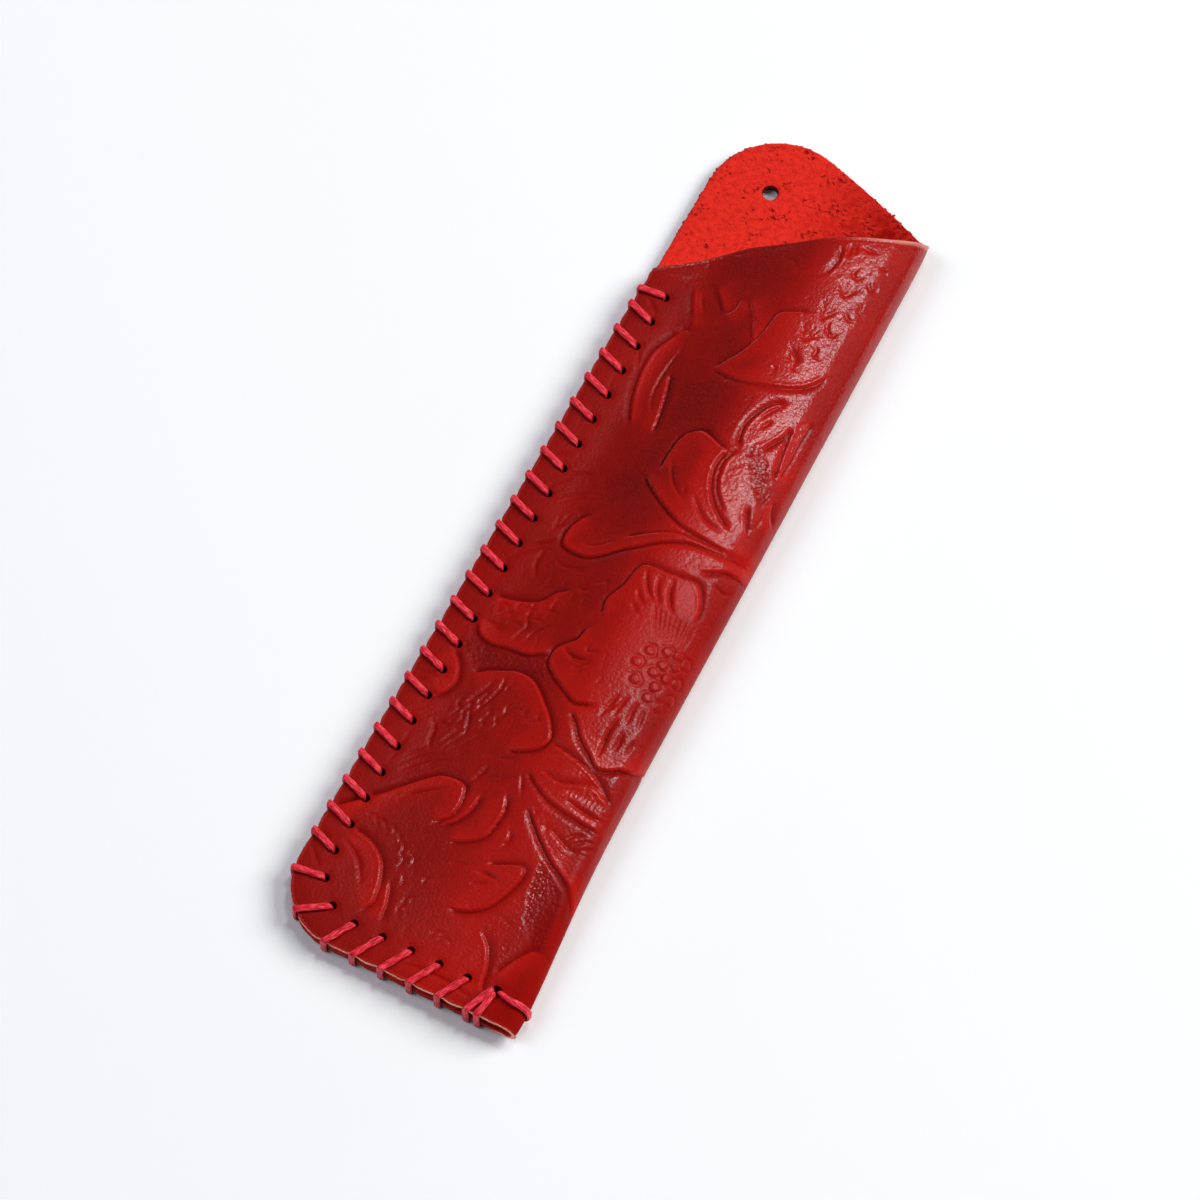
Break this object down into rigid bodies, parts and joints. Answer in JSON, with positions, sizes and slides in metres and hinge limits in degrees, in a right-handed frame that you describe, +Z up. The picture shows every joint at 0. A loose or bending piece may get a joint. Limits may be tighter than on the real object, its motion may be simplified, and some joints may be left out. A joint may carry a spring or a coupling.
{
  "type": "leather pen case",
  "caption": "Flat leather sleeve for a pen: one folded, tooled blank whip-stitched along the bottom and one side, open at a slanted mouth, with a rounded tab and a hanging hole",
  "frame": {"origin": "centre of the bounding box's bottom: the case lies on its flat back", "axes": "+Y runs along the case towards the hanging tab, +X runs from the stitched side to the fold, +Z points up out of the embossed front"},
  "size_m": [0.045, 0.1613, 0.01],
  "materials": {
    "leather": "semi-gloss, dyed and tooled",
    "thread": "waxed flat thread"
  },
  "bodies": {
    "root": {"leather_body": "leather", "fold_lock_thread": "thread", "bottom_seam_thread": "thread", "side_seam_thread": "thread"}
  },
  "joints": []
}
